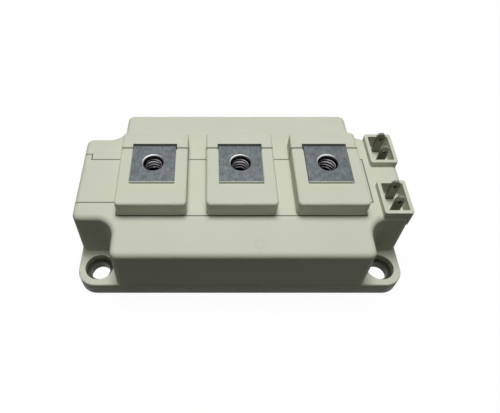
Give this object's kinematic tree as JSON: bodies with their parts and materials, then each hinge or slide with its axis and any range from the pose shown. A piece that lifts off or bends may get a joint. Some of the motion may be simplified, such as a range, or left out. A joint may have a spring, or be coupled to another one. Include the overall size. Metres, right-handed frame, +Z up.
{
  "type": "igbt module",
  "caption": "Half-bridge power semiconductor module in a plastic case on a metal base plate, with screw terminals on top and signal tabs in sockets at one end.",
  "frame": {"origin": "middle of the base plate's underside", "axes": "+X towards the signal sockets, +Y to the rear, +Z up to the screw terminals"},
  "size_m": [0.1064, 0.0614, 0.0305],
  "materials": {
    "nickel_plate": "satin nickel plating",
    "case_plastic": "fine moulded grain, cream grey",
    "terminal_plate": "dull nickel plating with fine scratches",
    "nut_steel": "zinc plated",
    "tab_metal": "dull tin plating",
    "adhesive": "cured silicone",
    "copper": "bare copper",
    "ceramic": "white alumina",
    "silicon": "metallised silicon",
    "bond_wire": "drawn aluminium",
    "resistor": "chip resistor",
    "lead_sleeve": "silicone sleeve"
  },
  "bodies": {
    "root": {"base_plate": "nickel_plate", "case": "case_plastic", "lid": "case_plastic", "terminal_1": "terminal_plate", "terminal_2": "terminal_plate", "terminal_3": "terminal_plate", "nut_1": "nut_steel", "nut_2": "nut_steel", "nut_3": "nut_steel", "signal_tab_1": "tab_metal", "signal_tab_2": "tab_metal", "signal_tab_3": "tab_metal", "signal_tab_4": "tab_metal", "case_adhesive": "adhesive", "phase_link": "copper", "lower_copper_right": "copper", "lower_copper_left": "copper", "upper_copper_right": "copper", "upper_copper_left": "copper", "ceramic_right": "ceramic", "ceramic_left": "ceramic", "igbt_chips_right": "silicon", "igbt_chips_left": "silicon", "diode_chips_right": "silicon", "diode_chips_left": "silicon", "bond_wires_right": "bond_wire", "bond_wires_left": "bond_wire", "gate_resistor_right": "resistor", "gate_resistor_left": "resistor", "gate_lead_right": "lead_sleeve", "gate_lead_left": "lead_sleeve", "sense_lead_right": "lead_sleeve", "sense_lead_left": "lead_sleeve"}
  },
  "joints": []
}
